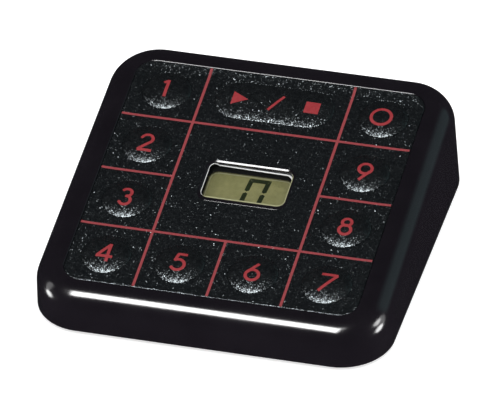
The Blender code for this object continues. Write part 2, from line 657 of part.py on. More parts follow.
def main():
    clear_scene()
    deck = bpy.data.objects.new("deck_frame", None)
    bpy.context.scene.collection.objects.link(deck)
    deck.location = (0, DECK_CENTRE_Y, DECK_CENTRE_Z)
    deck.rotation_euler = (SLOPE, 0, 0)
    build_top_case(deck)
    build_overlay(deck)
    build_keys(deck)
    build_key_mat(deck)
    build_display(deck)
    build_board(deck)
    build_base()
    build_door()
    build_battery_bay()
    build_wiring()
    build_sounder_feet_and_screws()


main()
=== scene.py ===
"""Looks of the keypad game clock: glossy wedge case, grained panel with red lines, pillow keys, display.

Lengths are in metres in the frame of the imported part. Things on the sloping deck are built in deck
coordinates (x across, v up the slope, n out of the deck, from the middle of the panel's face) and are
placed by DECK.
"""

import json
import math

import bmesh
import bpy
import numpy as np
from mathutils import Matrix, Vector
from mathutils.geometry import delaunay_2d_cdt


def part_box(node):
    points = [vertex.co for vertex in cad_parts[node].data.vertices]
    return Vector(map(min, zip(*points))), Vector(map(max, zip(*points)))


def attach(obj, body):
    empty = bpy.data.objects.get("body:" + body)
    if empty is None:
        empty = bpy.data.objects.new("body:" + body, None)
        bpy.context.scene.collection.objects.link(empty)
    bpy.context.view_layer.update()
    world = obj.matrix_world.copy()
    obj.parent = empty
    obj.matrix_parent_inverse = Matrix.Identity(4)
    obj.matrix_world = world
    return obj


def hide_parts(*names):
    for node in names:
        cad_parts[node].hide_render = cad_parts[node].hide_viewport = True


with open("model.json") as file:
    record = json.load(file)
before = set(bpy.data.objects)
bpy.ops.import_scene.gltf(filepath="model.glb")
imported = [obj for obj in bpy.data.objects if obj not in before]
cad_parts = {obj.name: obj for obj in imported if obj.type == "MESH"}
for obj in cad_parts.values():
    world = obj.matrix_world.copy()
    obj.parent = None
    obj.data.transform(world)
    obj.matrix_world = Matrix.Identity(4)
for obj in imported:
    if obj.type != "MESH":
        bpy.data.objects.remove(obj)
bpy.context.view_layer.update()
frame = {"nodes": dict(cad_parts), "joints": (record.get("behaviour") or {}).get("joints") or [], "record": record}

MM = 0.001

# ---------------------------------------------------------------- the deck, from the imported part
OVERLAY_THICK = 0.5 * MM
press = next(j for j in frame["joints"] if j["child"] == "key_5")
NORMAL = -Vector(press["axis"]).normalized()
SLOPE = math.atan2(-NORMAL.y, NORMAL.z)
overlay_low, overlay_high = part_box("overlay_panel")
DECK_ORIGIN = (overlay_low + overlay_high) / 2 + NORMAL * OVERLAY_THICK / 2
DECK = Matrix.Translation(DECK_ORIGIN) @ Matrix.Rotation(SLOPE, 4, "X")
PANEL = overlay_high.x - overlay_low.x
CELL = PANEL / 4

# ---------------------------------------------------------------- case
case_low, case_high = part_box("top_case")
CASE_WIDTH = case_high.x - case_low.x
CASE_DEPTH = case_high.y - case_low.y
CASE_BOTTOM = case_low.z
CASE_CORNER = 13.9 * MM
CASE_WALL = 2.2 * MM
EDGE_ROUND = 6.15 * MM
DRAFT = math.radians(2)
RIM_RISE = 0.3 * MM  # the rim stands above the deck
RIM_LIP = 0.34 * MM  # radius of the rim's rounded inner edge
LIP_TURN = math.radians(72)
LIP_STEPS = 6
FOOT_ROUND = 0.35 * MM
FOOT_STEPS = 4
CORNER_STEPS = 24
ROUND_STEPS = 18
POCKET_GAP = 0.06 * MM
POCKET_FLOOR = -0.8 * MM
WELL_GAP = 0.3 * MM  # round each key's flange
WELL_BOTTOM = -4 * MM
SEAT_LEDGE = 1.3 * MM  # the lens sits under a ledge this wide round the window
SEAT_TOP = -1.2 * MM
NOTCH_GAP = 0.25 * MM  # round the battery door, in the rear wall
PAST = 2 * MM  # how far a cutting tool runs past the surface it opens

# ---------------------------------------------------------------- panel, keys and window
PANEL_CORNER = 5 * MM
PANEL_STEPS = 12
HOLE_RADIUS = 6.73 * MM
CAP_RADIUS = 6.68 * MM
FLANGE_RADIUS = 7.7 * MM
FLANGE_TOP = -0.8 * MM
FLANGE_BOTTOM = -1.5 * MM
STEM_RADIUS = 3.0 * MM
STEM_BOTTOM = -2.25 * MM
KEY_CROWN = 1.1 * MM
START_CROWN = 0.85 * MM
KEY_SKIRT = 0.05 * MM
START_HALF_RUN = 9.7 * MM
KEY_CELLS = {
    "key_0": (1.5, 1.5), "key_1": (-1.5, 1.5), "key_2": (-1.5, 0.5), "key_3": (-1.5, -0.5),
    "key_4": (-1.5, -1.5), "key_5": (-0.5, -1.5), "key_6": (0.5, -1.5), "key_7": (1.5, -1.5),
    "key_8": (1.5, -0.5), "key_9": (1.5, 0.5),
}
START_PLACE = Vector((0, 1.5 * CELL))
WINDOW_CENTRE = Vector((0.1 * MM, 0.55 * MM))
WINDOW_SIZE = Vector((23.5 * MM, 13.9 * MM))
WINDOW_CORNER = 2.4 * MM
LINE_WIDTH = 0.74 * MM


# ================================================================ materials

FINE_TO_WIDE = 1.56
COOL_SHEEN = (0.87, 0.96, 1.0, 1)
SECOND_SHARE = 1.18


def node(tree, kind, **values):
    """A new node with these inputs, or else these properties, set."""
    made = tree.nodes.new(kind)
    for key, value in values.items():
        if key in made.inputs:
            made.inputs[key].default_value = value
        else:
            setattr(made, key, value)
    return made


def ramp(tree, source, low, high, to_low, to_high):
    """The source value stretched from low..high to to_low..to_high."""
    made = node(tree, "ShaderNodeMapRange")
    for key, value in (("From Min", low), ("From Max", high), ("To Min", to_low), ("To Max", to_high)):
        made.inputs[key].default_value = value
    tree.links.new(source, made.inputs["Value"])
    return made.outputs["Result"]


def noise(tree, scale, detail=2.0, roughness=0.5):
    """Fractal noise in the object's own metres, scale waves to the metre."""
    place = node(tree, "ShaderNodeTexCoord")
    made = node(tree, "ShaderNodeTexNoise")
    made.inputs["Scale"].default_value = scale
    made.inputs["Detail"].default_value = detail
    made.inputs["Roughness"].default_value = roughness
    tree.links.new(place.outputs["Object"], made.inputs["Vector"])
    return made.outputs["Fac"]


def facets(tree, tilt, per_metre):
    """The surface normal, tipped at random from one tiny cell of the surface to the next, in two sizes."""
    coords = node(tree, "ShaderNodeTexCoord").outputs["Object"]
    total = None
    for scale in (per_metre, per_metre * FINE_TO_WIDE):
        cells = node(tree, "ShaderNodeTexVoronoi", feature="F1")
        cells.inputs["Scale"].default_value = scale
        tree.links.new(coords, cells.inputs["Vector"])
        shifted = node(tree, "ShaderNodeVectorMath", operation="SUBTRACT")
        tree.links.new(cells.outputs["Color"], shifted.inputs[0])
        shifted.inputs[1].default_value = (0.5, 0.5, 0.5)
        scaled = node(tree, "ShaderNodeVectorMath", operation="SCALE")
        tree.links.new(shifted.outputs[0], scaled.inputs[0])
        scaled.inputs["Scale"].default_value = tilt
        if total is None:
            total = node(tree, "ShaderNodeNewGeometry").outputs["Normal"]
        added = node(tree, "ShaderNodeVectorMath", operation="ADD")
        tree.links.new(total, added.inputs[0])
        tree.links.new(scaled.outputs[0], added.inputs[1])
        total = added.outputs[0]
    unit = node(tree, "ShaderNodeVectorMath", operation="NORMALIZE")
    tree.links.new(total, unit.inputs[0])
    return unit.outputs[0]


def surface(name, colour, roughness, metallic=0.0, second=None, mottle=400.0, rough_spread=0.04,
            grain=0.0, grain_scale=2500.0, sockets=None, facet=None):
    """A Principled material whose colour and roughness wander a little.

    grain (m) gives it a fine relief, facet (tilt, cells to the metre) a normal tipped at random.
    """
    made = bpy.data.materials.new(name)
    made.use_nodes = True
    tree = made.node_tree
    shader = tree.nodes["Principled BSDF"]
    shader.inputs["Metallic"].default_value = metallic
    for key, value in (sockets or {}).items():
        shader.inputs[key].default_value = value
    second = second or tuple(c * SECOND_SHARE for c in colour)
    wander = noise(tree, mottle, 3.0)
    blend = node(tree, "ShaderNodeMix", data_type="RGBA")
    # Of a colour mix, inputs 6 and 7 are the two colours and output 2 is the result.
    blend.inputs[6].default_value = (*colour, 1)
    blend.inputs[7].default_value = (*second, 1)
    tree.links.new(ramp(tree, wander, 0.35, 0.65, 0, 1), blend.inputs[0])
    tree.links.new(blend.outputs[2], shader.inputs["Base Color"])
    rough = ramp(tree, wander, 0.3, 0.7, roughness - rough_spread, roughness + rough_spread)
    tree.links.new(rough, shader.inputs["Roughness"])
    if facet:
        tree.links.new(facets(tree, *facet), shader.inputs["Normal"])
    if grain:
        bump = node(tree, "ShaderNodeBump", Strength=1.0, Distance=grain)
        tree.links.new(noise(tree, grain_scale, roughness=0.6), bump.inputs["Height"])
        tree.links.new(bump.outputs["Normal"], shader.inputs["Normal"])
    return made


def film(name, colour, roughness, facet, gloss, ior=1.5):
    """Embossed black plastic film, whose cool sheen breaks into sparkling dots."""
    return surface(name, colour, roughness, mottle=900, rough_spread=0.05, facet=facet,
                   sockets={"Specular IOR Level": gloss, "IOR": ior, "Specular Tint": COOL_SHEEN})


GLOSS = surface("case_gloss", (0.0060, 0.0048, 0.0070), 0.16, rough_spread=0.02, mottle=120, grain=2e-7,
                grain_scale=350)
SATIN = surface("base_satin", (0.010, 0.010, 0.011), 0.42, grain=2.0e-5, grain_scale=2600)
FILM = film("overlay_film", (0.0026, 0.0033, 0.0041), 0.245, (0.465, 3400.0), 0.92)
CAP_FILM = film("cap_film", (0.0010, 0.0013, 0.0018), 0.25, (0.37, 4700.0), 1.0, 1.56)
START_FILM = film("start_film", (0.0014, 0.0018, 0.0023), 0.25, (0.44, 4500.0), 1.0, 1.55)
INK = surface("red_ink", (0.30, 0.010, 0.016), 0.45, second=(0.35, 0.014, 0.022), mottle=1500,
              grain=3e-5, grain_scale=2600)
LINE_INK = surface("line_ink", (0.280, 0.027, 0.034), 0.45, second=(0.325, 0.034, 0.043), mottle=1500,
                   grain=3e-5, grain_scale=2600)
DULL = {"Specular IOR Level": 0.2}
KHAKI = surface("display_back", (0.245, 0.241, 0.075), 0.6, second=(0.285, 0.278, 0.095), mottle=700)
KHAKI_EDGE = surface("display_edge", (0.34, 0.34, 0.19), 0.6, sockets=DULL)
# Dim khaki for a ring of painted shade: the shadow of the window's walls on the display's edge.
KHAKI_PAINTED_SHADE = surface("display_painted_shade", (0.100, 0.095, 0.036), 0.6, second=(0.120, 0.114, 0.045),
                      mottle=1500, sockets=DULL)
SEGMENT = surface("segment_dark", (0.014, 0.025, 0.002), 0.5, sockets=DULL)
MASK = surface("display_mask", (0.003, 0.003, 0.003), 0.4)
# Near white: a painted highlight for the glint on the clear lens's edge.
LENS_GLINT = surface("lens_glint", (0.84, 0.85, 0.86), 0.3, sockets={"Specular IOR Level": 0.8})
CLEAR = surface("clear_plastic", (0.02, 0.022, 0.022), 0.05, rough_spread=0.01, sockets={"Alpha": 0.07})
GLASS = surface("display_glass", (0.10, 0.11, 0.09), 0.08, sockets={"Alpha": 0.18})
SLOTS = {
    "case_gloss": GLOSS, "base_satin": SATIN, "overlay_film": FILM, "clear_plastic": CLEAR,
    "display_glass": GLASS, "display_back": KHAKI,
    "silicone": surface("silicone", (0.19, 0.19, 0.20), 0.65, grain=1e-5, grain_scale=1800),
    "white_plastic": surface("white_plastic", (0.72, 0.72, 0.69), 0.5, grain=8e-6, grain_scale=2200),
    "circuit_board": surface("circuit_board", (0.018, 0.15, 0.065), 0.4, second=(0.03, 0.20, 0.09),
                             mottle=900, grain=1.2e-5, grain_scale=1500),
    "epoxy": surface("epoxy", (0.008, 0.008, 0.008), 0.35, grain=4e-5, grain_scale=500),
    "tin": surface("tin", (0.70, 0.70, 0.68), 0.32, 1.0, grain=6e-6, grain_scale=1200),
    "spring_steel": surface("spring_steel", (0.60, 0.59, 0.57), 0.28, 1.0, grain=4e-6, grain_scale=2400),
    "brass": surface("brass", (0.76, 0.58, 0.27), 0.34, 1.0, grain=6e-6, grain_scale=1200),
    "cell_sleeve": surface("cell_sleeve", (0.09, 0.11, 0.19), 0.3, grain=4e-6, grain_scale=700),
    "red_sleeve": surface("red_sleeve", (0.55, 0.03, 0.03), 0.5, grain=1e-5),
    "black_sleeve": surface("black_sleeve", (0.018, 0.018, 0.018), 0.5, grain=1e-5),
    "zinc": surface("zinc", (0.58, 0.58, 0.60), 0.34, 1.0, grain=8e-6, grain_scale=1500),
    "foot_rubber": surface("foot_rubber", (0.030, 0.030, 0.030), 0.85, grain=3e-5, grain_scale=2200),
}


# ================================================================ mesh helpers

def rounded_rectangle(size, corner, steps, centre=Vector((0, 0)), grow=0.0):
    """(point, outward normal) round a rounded rectangle, anticlockwise."""
    half = Vector(size) / 2
    outline = []
    for quarter in range(4):
        side = Vector((1 if quarter in (0, 3) else -1, 1 if quarter in (0, 1) else -1))
        middle = Vector((side.x * (half.x - corner), side.y * (half.y - corner))) + centre
        for step in range(steps + 1):
            angle = (quarter + step / steps) * math.pi / 2
            normal = Vector((math.cos(angle), math.sin(angle)))
            outline.append((middle + (corner + grow) * normal, normal))
    return outline


def rectangle_ring(size, corner, steps, centre=Vector((0, 0)), grow=0.0):
    """The points alone of a rounded rectangle."""
    return [point for point, normal in rounded_rectangle(size, corner, steps, centre, grow)]


def fine(outline, step):
    """The same closed outline with its long sides cut into short ones."""
    out = []
    for a, b in zip(outline, outline[1:] + outline[:1]):
        count = max(1, math.ceil((b - a).length / step))
        out += [a + (b - a) * i / count for i in range(count)]
    return out


def stadium(radius, half_run, centre=Vector((0, 0)), sides=64):
    """Two half circles, their centres 2 half_run apart along x; a circle where half_run is 0."""
    outline = []
    for side in (1, -1):
        for step in range(sides // 2 + (1 if half_run else 0)):
            angle = math.pi * (step / (sides // 2) - side / 2)
            across = side * half_run + radius * math.cos(angle)
            outline.append(centre + Vector((across, radius * math.sin(angle))))
    return outline


def loft(bm, rings, caps=True):
    """Skins rings of equal length one after another, and closes both ends."""
    rows = [[bm.verts.new(point) for point in ring] for ring in rings]
    count = len(rows[0])
    for low, high in zip(rows, rows[1:]):
        for i in range(count):
            j = (i + 1) % count
            bm.faces.new((low[i], low[j], high[j], high[i]))
    if caps:
        bm.faces.new(rows[0][::-1])
        bm.faces.new(rows[-1])
    return rows


def level(outline, n):
    """The flat outline as a ring at that height."""
    return [Vector((p.x, p.y, n)) for p in outline]


def prism(bm, outline, low, high):
    """The flat outline pushed from one height to another."""
    loft(bm, [level(outline, low), level(outline, high)])


def block(bm, low, high):
    """A box between two opposite corners."""
    corners = ((low[0], low[1]), (high[0], low[1]), (high[0], high[1]), (low[0], high[1]))
    prism(bm, [Vector(corner) for corner in corners], low[2], high[2])


def mesh_object(name, bm, material=None, matrix=None, smooth=40):
    """The finished mesh as an object, smooth below that angle in degrees (0 is faceted)."""
    bmesh.ops.recalc_face_normals(bm, faces=bm.faces)
    mesh = bpy.data.meshes.new(name)
    bm.to_mesh(mesh)
    bm.free()
    obj = bpy.data.objects.new(name, mesh)
    bpy.context.scene.collection.objects.link(obj)
    if matrix is not None:
        obj.matrix_world = matrix
    if material:
        mesh.materials.append(material)
    if smooth:
        mesh.shade_smooth()
        mesh.set_sharp_from_angle(angle=math.radians(smooth))
    return obj


def piece(obj, body, slot, *nodes):
    """Puts the finished object on its body and hides the CAD nodes it stands for; the slot is not used."""
    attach(obj, body)
    if nodes:
        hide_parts(*nodes)


def cutter(fill, matrix=None):
    """A tool for carve, with the mesh that fill builds."""
    bm = bmesh.new()
    fill(bm)
    return mesh_object("cutter", bm, None, matrix, 0)


def carve(obj, steps):
    """Applies (operation, tool object) Booleans in turn and drops the tools."""
    for number, (operation, tool) in enumerate(steps):
        modifier = obj.modifiers.new(f"step_{number}", "BOOLEAN")
        modifier.operation = operation
        modifier.solver = "EXACT"
        modifier.object = tool
    bpy.context.view_layer.update()
    result = bpy.data.meshes.new_from_object(obj.evaluated_get(bpy.context.evaluated_depsgraph_get()))
    obj.modifiers.clear()
    old = obj.data
    obj.data = result
    bpy.data.meshes.remove(old)
    for operation, tool in steps:
        bpy.data.objects.remove(tool, do_unlink=True)


def even_shading(obj, angle):
    """Smooth shading led by the large faces, so that flats stay flat beside their rounded edges."""
    obj.data.shade_smooth()
    obj.data.set_sharp_from_angle(angle=math.radians(angle))
    modifier = obj.modifiers.new("shading", "WEIGHTED_NORMAL")
    modifier.keep_sharp = True
    modifier.weight = 80


def inside_outlines(spots, outlines):
    """True for each spot that lies within any of the convex, anticlockwise outlines."""
    found = np.zeros(len(spots), bool)
    for outline in outlines:
        a = np.array([(p[0], p[1]) for p in outline])
        side = np.roll(a, -1, 0) - a
        if np.sum(a[:, 0] * np.roll(a[:, 1], -1) - a[:, 1] * np.roll(a[:, 0], -1)) < 0:
            side = -side
        away = spots[:, None, :] - a[None]
        found |= (side[None, :, 0] * away[:, :, 1] - side[None, :, 1] * away[:, :, 0] >= 0).all(1)
    return found


def flat_shapes(shapes, guides=(), holes=()):
    """The union of convex outlines, less the holes, as (points, triangles).

    Guides only add edges to the net, so that a sheet can bend there.
    """
    points, edges = [], []
    for outline in [*shapes, *guides, *holes]:
        first, count = len(points), len(outline)
        edges += [(first + i, first + (i + 1) % count) for i in range(count)]
        points += [Vector((p[0], p[1])) for p in outline]
    verts, _, triangles, *_ = delaunay_2d_cdt(points, edges, [], 0, 1e-8)
    middles = np.array([sum((verts[i] for i in t), Vector((0, 0))) / 3 for t in triangles])
    keep = inside_outlines(middles, shapes)
    if holes:
        keep &= ~inside_outlines(middles, holes)
    return verts, [t for t, wanted in zip(triangles, keep) if wanted]


def sheet(bm, points, triangles, top, bottom):
    """A closed plate over the triangles; top and bottom give the height at a point."""
    used = sorted({i for t in triangles for i in t})
    high = {i: bm.verts.new((points[i].x, points[i].y, top(points[i]))) for i in used}
    low = {i: bm.verts.new((points[i].x, points[i].y, bottom(points[i]))) for i in used}
    edges = {}
    for a, b, c in triangles:
        bm.faces.new((high[a], high[b], high[c]))
        bm.faces.new((low[c], low[b], low[a]))
        edges.update({(a, b): True, (b, c): True, (c, a): True})
    for a, b in edges:
        if (b, a) not in edges:
            bm.faces.new((high[b], high[a], low[a], low[b]))


def smoothstep(low, high, value):
    """From 0 at low to 1 at high, level at both ends."""
    t = min(1.0, max(0.0, (value - low) / (high - low)))
    return t * t * (3 - 2 * t)


# ================================================================ case shell

def deck_height(y, n=0.0):
    """World height at this y of the plane n above the deck."""
    return DECK_ORIGIN.z + (y - DECK_ORIGIN.y) * math.tan(SLOPE) + n / math.cos(SLOPE)


def case_rings(inset, bottom, foot_round=0.0, corner_steps=CORNER_STEPS, round_steps=ROUND_STEPS):
    """Rings of the case's form: drafted wall, then a rolling round over onto the sloping rim plane."""
    up_slope = Vector((0, -math.sin(SLOPE), math.cos(SLOPE)))
    radius = EDGE_ROUND - inset
    foot_steps = FOOT_STEPS if foot_round else 0
    rings = [[] for _ in range(round_steps + 2 + foot_steps)]
    for point, normal in rounded_rectangle((CASE_WIDTH, CASE_DEPTH), CASE_CORNER, corner_steps):
        side = Vector((normal.x * math.cos(DRAFT), normal.y * math.cos(DRAFT), math.sin(DRAFT)))
        near_y = point.y - normal.y * EDGE_ROUND
        centre_z = deck_height(near_y, RIM_RISE - EDGE_ROUND)
        shift = EDGE_ROUND + (centre_z - CASE_BOTTOM) * math.tan(DRAFT)
        middle = point - shift * normal
        centre = Vector((middle.x, middle.y, deck_height(middle.y, RIM_RISE - EDGE_ROUND)))

        def wall(z, extra=0.0):
            foot = point - (inset + extra + (z - CASE_BOTTOM) * math.tan(DRAFT)) * normal
            return Vector((foot.x, foot.y, z))

        if foot_round:
            for step in range(foot_steps + 1):
                turn = step / foot_steps * math.pi / 2
                rise, trim = foot_round * (1 - math.cos(turn)), foot_round * (1 - math.sin(turn))
                rings[step].append(wall(bottom + rise, trim))
        else:
            rings[0].append(wall(bottom))
        span = side.angle(up_slope)
        for step in range(round_steps + 1):
            share = step / round_steps
            turned = math.sin((1 - share) * span) * side + math.sin(share * span) * up_slope
            rings[foot_steps + step + 1].append(centre + radius * (turned / math.sin(span)))
    return rings


def window_ring(grow, steps=8):
    """The window's outline, that much larger all round."""
    return rectangle_ring(WINDOW_SIZE, WINDOW_CORNER, steps, WINDOW_CENTRE, grow)


def key_places():
    """(name, centre, half run) of every key."""
    places = [(name, Vector((column * CELL, row * CELL)), 0.0)
              for name, (column, row) in KEY_CELLS.items()]
    return places + [("key_start_stop", START_PLACE, START_HALF_RUN)]


def build_case():
    bm = bmesh.new()
    loft(bm, case_rings(0, CASE_BOTTOM, FOOT_ROUND))
    case = mesh_object("case_shell", bm, GLOSS)

    def cavity(bm):
        loft(bm, case_rings(CASE_WALL, CASE_BOTTOM - PAST, corner_steps=8, round_steps=6))

    def pocket(bm):
        def ring(grow, n):
            return level(rectangle_ring((PANEL, PANEL), PANEL_CORNER, PANEL_STEPS, grow=grow), n)

        rings = [ring(POCKET_GAP, POCKET_FLOOR)]
        for step in range(LIP_STEPS + 1):
            turn = LIP_TURN * step / LIP_STEPS
            rings.append(ring(POCKET_GAP + RIM_LIP * (1 - math.cos(turn)),
                              RIM_RISE + RIM_LIP * (math.sin(turn) - math.sin(LIP_TURN))))
        clear = POCKET_GAP + 1.4 * RIM_LIP
        loft(bm, [*rings, ring(clear, RIM_RISE + 0.05 * MM), ring(clear, RIM_RISE + PAST)])

    def wells(bm):
        for name, centre, half_run in key_places():
            prism(bm, stadium(FLANGE_RADIUS + WELL_GAP, half_run, centre, 48), WELL_BOTTOM, 0)
        section = ((SEAT_LEDGE, WELL_BOTTOM), (SEAT_LEDGE, SEAT_TOP), (0, SEAT_TOP), (0, 0))
        loft(bm, [level(window_ring(grow), n) for grow, n in section])

    door_low, door_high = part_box("battery_door")

    def notch(bm):
        reach = max(abs(door_low.x), abs(door_high.x)) + NOTCH_GAP
        block(bm, (-reach, door_high.y - 8 * MM, -1 * MM),
              (reach, door_high.y + PAST, door_high.z + NOTCH_GAP))

    carve(case, [("DIFFERENCE", cutter(cavity)), ("DIFFERENCE", cutter(pocket, DECK)),
                 ("DIFFERENCE", cutter(wells, DECK)), ("DIFFERENCE", cutter(notch))])
    even_shading(case, 35)
    piece(case, "clock", "case_gloss", "top_case")


# ================================================================ panel film and red lines

LIFT = 0.42 * MM
LIFT_RUN = 3.2 * MM
LIFT_POWER = 1.3
FRONT_SHARE = 0.3
BACK_FROM, BACK_TO = 0.28 * PANEL, 0.42 * PANEL
LINE_END_GAP = 0.25 * MM
LINE_STEP = 1.0 * MM
FILM_ROUND = 0.25 * MM
HOLE_ROUND = 0.02 * MM
FINE_STEP = 2 * MM
BEZEL_GAP = 0.5 * MM
INK_OVER_FILM = 0.02 * MM
INK_OVER_KEY = 0.03 * MM
INK_IN_FILM = 0.05 * MM


def edge_distance(p):
    """How far a point is inside the panel's rounded square."""
    half = PANEL / 2
    dx, dy = abs(p.x) - (half - PANEL_CORNER), abs(p.y) - (half - PANEL_CORNER)
    if dx > 0 and dy > 0:
        return PANEL_CORNER - math.hypot(dx, dy)
    return PANEL_CORNER - max(dx, dy)


def film_height(p):
    """The film lifts towards the rim, most along the back, and its very edge is rounded."""
    inside = max(0.0, edge_distance(p))
    share = FRONT_SHARE + 0.7 * smoothstep(BACK_FROM, BACK_TO, p.y)
    lift = LIFT * share * max(0.0, 1 - inside / LIFT_RUN) ** LIFT_POWER
    if inside < FILM_ROUND:
        lift -= FILM_ROUND - math.sqrt(max(0.0, FILM_ROUND ** 2 - (FILM_ROUND - inside) ** 2))
    return lift


def build_film():
    def outline(inset):
        return fine(rectangle_ring((PANEL, PANEL), PANEL_CORNER, PANEL_STEPS, grow=-inset * MM), FINE_STEP)

    places = key_places()
    guides = [outline(inset) for inset in (0.02, 0.06, 0.12, 0.2, 0.34, 0.6, 0.9, 1.4, 2.0, 2.6, 3.2)]
    guides += [stadium(HOLE_RADIUS + HOLE_ROUND, half_run, centre) for name, centre, half_run in places]
    holes = [stadium(HOLE_RADIUS, half_run, centre) for name, centre, half_run in places]
    holes.append(window_ring(BEZEL_GAP, 10))
    points, triangles = flat_shapes([outline(0.0)], guides, holes)

    def hole_drop(p):
        """The film dips a hair at the very edge of each key's hole."""
        for name, centre, half_run in places:
            away = math.hypot(max(0.0, abs(p.x - centre.x) - half_run), p.y - centre.y)
            if away < HOLE_RADIUS + HOLE_ROUND / 2:
                return HOLE_ROUND
        return 0.0

    bm = bmesh.new()
    sheet(bm, points, triangles, lambda p: film_height(p) - hole_drop(p), lambda p: -OVERLAY_THICK)
    skin = mesh_object("overlay_skin", bm, FILM, DECK)
    even_shading(skin, 50)
    piece(skin, "clock", "overlay_film", "overlay_panel")


def strip(a, b, width):
    """A straight band from a to b, cut into short lengths."""
    a, b = Vector(a), Vector(b)
    along = (b - a).normalized()
    across = Vector((-along.y, along.x)) * width / 2
    count = max(1, math.ceil((b - a).length / LINE_STEP))
    stops = [a + (b - a) * i / count for i in range(count + 1)]
    return [p - across for p in stops] + [p + across for p in reversed(stops)]


def build_lines():
    end = PANEL / 2 - LINE_END_GAP
    bands = [((x * CELL, -end), (x * CELL, end)) for x in (-1, 1)]
    bands += [((-end, v * CELL), (end, v * CELL)) for v in (-1, 1)]
    bands += [((side * end, 0), (side * CELL, 0)) for side in (-1, 1)]
    bands.append(((0, -end), (0, -CELL)))
    points, triangles = flat_shapes([strip(a, b, LINE_WIDTH) for a, b in bands])
    bm = bmesh.new()
    sheet(bm, points, triangles, lambda p: film_height(p) + INK_OVER_FILM,
          lambda p: film_height(p) - INK_IN_FILM)
    lines = mesh_object("grid_lines", bm, LINE_INK, DECK, 50)
    piece(lines, "clock", "overlay_film")


# ================================================================ keys

CROWN_SHARES = (1, 0.985, 0.96, 0.92, 0.87, 0.81, 0.74, 0.66, 0.57, 0.47, 0.36, 0.25, 0.13, 0.03)
CROWN_TRIM = 0.05 * MM


def crown(share, half_run):
    """Height of a pillow key's top at this share of its radius."""
    share = min(share, 1)
    height = START_CROWN if half_run else KEY_CROWN
    return KEY_SKIRT + height * (1 - 0.55 * share ** 2 - 0.33 * share ** 4 - 0.12 * share ** 10)


def crown_at(p, half_run):
    """Height of a key's top over this point, counted from the middle of the key."""
    return crown(math.hypot(max(0.0, abs(p.x) - half_run), p.y) / CAP_RADIUS, half_run)


def cap_rings(half_run):
    """(radius, height) of a cap, from the foot of its stem to the middle of its crown."""
    rings = [] if half_run else [(STEM_RADIUS, STEM_BOTTOM)]
    rings += [(STEM_RADIUS, FLANGE_BOTTOM), (FLANGE_RADIUS, FLANGE_BOTTOM), (FLANGE_RADIUS, FLANGE_TOP),
              (CAP_RADIUS, FLANGE_TOP), (CAP_RADIUS, KEY_SKIRT - 0.10 * MM),
              (CAP_RADIUS - 0.015 * MM, KEY_SKIRT - 0.03 * MM)]
    return rings + [(CAP_RADIUS * share - (CROWN_TRIM if share == 1 else 0), crown(share, half_run))
                    for share in CROWN_SHARES]


def add_stems(cap, half_run, matrix):
    """The wide key has a stem under each end."""
    def stems(bm):
        for side in (-1, 1):
            prism(bm, stadium(STEM_RADIUS, 0, Vector((side * half_run, 0)), 32), STEM_BOTTOM,
                  FLANGE_BOTTOM + 0.3 * MM)

    carve(cap, [("UNION", cutter(stems, matrix))])
    cap.data.materials.clear()
    cap.data.materials.append(START_FILM)


def build_caps():
    for name, centre, half_run in key_places():
        bm = bmesh.new()
        loft(bm, [level(stadium(radius, half_run), n) for radius, n in cap_rings(half_run)])
        matrix = DECK @ Matrix.Translation((centre.x, centre.y, 0))
        cap = mesh_object("cap" + name[3:], bm, START_FILM if half_run else CAP_FILM, matrix)
        if half_run:
            add_stems(cap, half_run, matrix)
        even_shading(cap, 50)
        piece(cap, name, "overlay_film", name)


# ---------------------------------------------------------------- numerals

# Lengths of numerals and marks are in millimetres about the middle of their key.
NUMERAL_WIDTH = 0.86
NUMERAL_DROP = Vector((0, -0.22))
SLASH_WIDTH = 0.75
JOINT_SIDES = 12


def arc(centre, radius, start, stop, steps):
    """Points of an arc in degrees, from start to stop."""
    turns = [math.radians(start + (stop - start) * i / steps) for i in range(steps + 1)]
    return [(centre[0] + radius * math.cos(t), centre[1] + radius * math.sin(t)) for t in turns]


def dense(points, step=0.45):
    """The same polyline with long stretches cut into short ones."""
    out = [Vector(points[0])]
    for a, b in zip(points, points[1:]):
        a, b = Vector(a), Vector(b)
        count = max(1, math.ceil((b - a).length / step))
        out += [a + (b - a) * i / count for i in range(1, count + 1)]
    return out


def stroke(points, width=NUMERAL_WIDTH):
    """Outlines, one to each short length, that together draw the polyline with that width."""
    points = dense([Vector(p) for p in points])
    outlines = []
    for a, b in zip(points, points[1:]):
        along = (b - a).normalized()
        across = Vector((-along.y, along.x)) * width / 2
        outlines.append([a - across, b - across, b + across, a + across])
    turns = [2 * math.pi * i / JOINT_SIDES for i in range(JOINT_SIDES)]
    for p in points[1:-1]:
        outlines.append([p + Vector((math.cos(t), math.sin(t))) * width / 2 for t in turns])
    return outlines


TOP = 3.15  # half the height of a numeral
MID = TOP - NUMERAL_WIDTH / 2  # and to the middle of its top stroke


